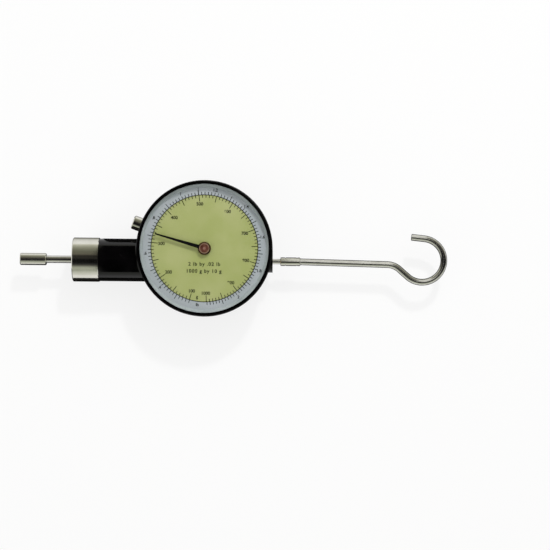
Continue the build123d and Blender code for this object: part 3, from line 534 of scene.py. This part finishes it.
def add_labels():
    grams = [(str(g), LABEL_SIZE, inside(GRAM_LABEL_REACH, scale_angle(g)))
             for g in range(GRAM_FIRST, GRAM_LAST + 1, GRAM_LABEL_STEP)]
    grams.append(("g", LABEL_SIZE, at(dial_point(*GRAM_UNIT))))
    add_words("gram_numbers", grams)

    pounds = []
    for tenths in range(POUND_LABEL_FIRST, POUND_LABEL_LAST + 1, POUND_LABEL_STEP):
        angle = scale_angle(tenths / 10 * GRAMS_PER_POUND)
        text = f"{tenths / 10:g}".removeprefix("0")
        pounds.append((text, POUND_LABEL_SIZE, at(dial_point(POUND_LABEL_RADIUS, angle))))
    pounds.append(("lb", POUND_LABEL_SIZE, at(dial_point(*POUND_UNIT))))
    add_words("pound_numbers", pounds)

    add_words("division_notes", [(text, NOTE_SIZE, at((0, rise))) for text, rise in NOTE_LINES],
              NOTE_SPACING)


def add_springs():
    """Copies of the rigid springs are added in their place, and the rigid springs are hidden."""
    washer, collar, post, leaf = map(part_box, ("seat_washer", "spring_collar", "leaf_post", "pawl_spring"))
    turn = math.radians(BUTTON_ANGLE)
    outward = Vector((math.cos(turn), math.sin(turn), 0))
    ends = [Vector(corner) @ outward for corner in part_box("button_spring")]
    springs = (                    # node, the body that bends it, and where it starts and ends on its way
        ("main_spring", "plunger", (washer[0].x, ROD_Y, ROD_Z), (collar[1].x, ROD_Y, ROD_Z)),
        ("button_spring", "button", outward * min(ends), outward * max(ends)),
        ("pawl_spring", "lever", (post[0].x, 0, 0), (leaf[0].x, 0, 0)),
    )
    for node, moving, start, end in springs:
        mesh = frame["nodes"][node].data.copy()
        piece = add_piece(f"flexing_{node}", mesh, "spring_steel")
        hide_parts(node)
        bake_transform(piece)


add_gram_lines()
add_pound_lines()
add_zone_circle()
add_labels()
add_springs()


# ---- Floor, world, cards, lamps and camera ----
def add_floor():
    """A pale floor that keeps the gauge's shadow and is seen as nearly plain white."""
    shape = bmesh.new()
    bmesh.ops.create_grid(shape, x_segments=1, y_segments=1, size=FLOOR_SIZE)
    mesh = mesh_of("floor", shape)
    floor = bpy.data.objects.new("floor", mesh)
    floor.location = (0, 0, -FLOOR_DROP)
    scene.collection.objects.link(floor)
    look = Look("floor", 0.8)
    look.shader.inputs["Base Color"].default_value = FLOOR_TONE
    rays = look.add("ShaderNodeLightPath").outputs
    seen = look.maths("MAXIMUM", look.maths("MAXIMUM", rays["Is Camera Ray"], rays["Is Glossy Ray"]),
                      rays["Is Transmission Ray"])
    white = look.add("ShaderNodeEmission", {"Strength": 1.0})
    mixed = look.add("ShaderNodeMixShader", {0: look.maths("MULTIPLY", seen, WHITE_SHARE),
                                             1: look.shader.outputs[0], 2: white.outputs[0]})
    look.surface(mixed.outputs[0])
    mesh.materials.append(look.material)


def add_world():
    """Soft even light all round, the strip studio for what metal and glass mirror, and plain white where
    the world is seen."""
    world = bpy.data.worlds.new("studio")
    scene.world = world
    world.use_nodes = True
    nodes, links = world.node_tree.nodes, world.node_tree.links
    nodes.clear()

    def add(kind, **settings):
        node = nodes.new(kind)
        for key, value in settings.items():
            setattr(node, key, value)
        return node

    place = add("ShaderNodeTexCoord")
    parts = add("ShaderNodeSeparateXYZ")
    angle = add("ShaderNodeMath", operation="ARCTAN2")
    links.new(place.outputs["Generated"], parts.inputs[0])
    links.new(parts.outputs["Y"], angle.inputs[0])
    links.new(parts.outputs["Z"], angle.inputs[1])
    share = add("ShaderNodeMapRange")
    links.new(angle.outputs[0], share.inputs["Value"])
    share.inputs["From Min"].default_value = -math.pi / 2
    share.inputs["From Max"].default_value = math.pi / 2
    ramp = add("ShaderNodeValToRGB")
    links.new(share.outputs["Result"], ramp.inputs["Fac"])
    elements = ramp.color_ramp.elements
    while len(elements) < len(STUDIO_STRIP):
        elements.new(0.5)
    for element, (degrees, colour) in zip(elements, STUDIO_STRIP):
        element.position = (degrees + 90) / 180
        element.color = (*colour, 1)

    rays = add("ShaderNodeLightPath").outputs
    mirrored = add("ShaderNodeMix", data_type="RGBA")
    links.new(rays["Is Glossy Ray"], mirrored.inputs["Factor"])
    mirrored.inputs[MIX_FIRST].default_value = (AMBIENT, AMBIENT, AMBIENT, 1)
    links.new(ramp.outputs["Color"], mirrored.inputs[MIX_SECOND])
    seen = add("ShaderNodeMath", operation="MAXIMUM")
    links.new(rays["Is Camera Ray"], seen.inputs[0])
    links.new(rays["Is Transmission Ray"], seen.inputs[1])
    shown = add("ShaderNodeMix", data_type="RGBA")
    links.new(seen.outputs[0], shown.inputs["Factor"])
    links.new(mirrored.outputs[MIX_RESULT], shown.inputs[MIX_FIRST])
    shown.inputs[MIX_SECOND].default_value = (1, 1, 1, 1)
    background = add("ShaderNodeBackground")
    links.new(shown.outputs[MIX_RESULT], background.inputs["Color"])
    links.new(background.outputs[0], add("ShaderNodeOutputWorld").inputs["Surface"])


def add_card(name, corners, level):
    """A card that only metal and glass mirror."""
    mesh = bpy.data.meshes.new(name)
    mesh.from_pydata([[v * MM for v in corner] for corner in corners], [], [(0, 1, 2, 3)])
    card = bpy.data.objects.new(name, mesh)
    card.visible_camera = card.visible_diffuse = card.visible_transmission = card.visible_shadow = False
    scene.collection.objects.link(card)
    look = Look(name, 1.0)
    tone = (level, level, level * CARD_BLUE, 1)
    look.surface(look.add("ShaderNodeEmission", {"Color": tone, "Strength": 1.0}).outputs[0])
    mesh.materials.append(look.material)


def add_lamp(name, place, size, power):
    """A square lamp that faces the dial and isn't mirrored in the metal."""
    lamp = bpy.data.lights.new(name, "AREA")
    lamp.size, lamp.energy = size, power
    holder = bpy.data.objects.new(name, lamp)
    holder.location = place
    holder.rotation_euler = (-Vector(place)).to_track_quat("-Z", "Y").to_euler()
    holder.visible_glossy = False
    scene.collection.objects.link(holder)


add_floor()
add_world()
for name, (left, bottom), (right, top), level in FLOOR_CARDS:
    add_card(name, ((left, bottom, 0), (right, bottom, 0), (right, top, 0), (left, top, 0)), level)
for card in RAISED_CARDS:
    add_card(*card)
for lamp in LAMPS:
    add_lamp(*lamp)

camera_data = bpy.data.cameras.new("camera")
camera_data.sensor_width, camera_data.lens = SENSOR_WIDTH, LENS
camera = bpy.data.objects.new("camera", camera_data)
camera.location = CAMERA_PLACE
camera.rotation_euler = (0, 0, math.radians(CAMERA_TURN))
scene.collection.objects.link(camera)
scene.camera = camera

scene.view_settings.view_transform = "Standard"
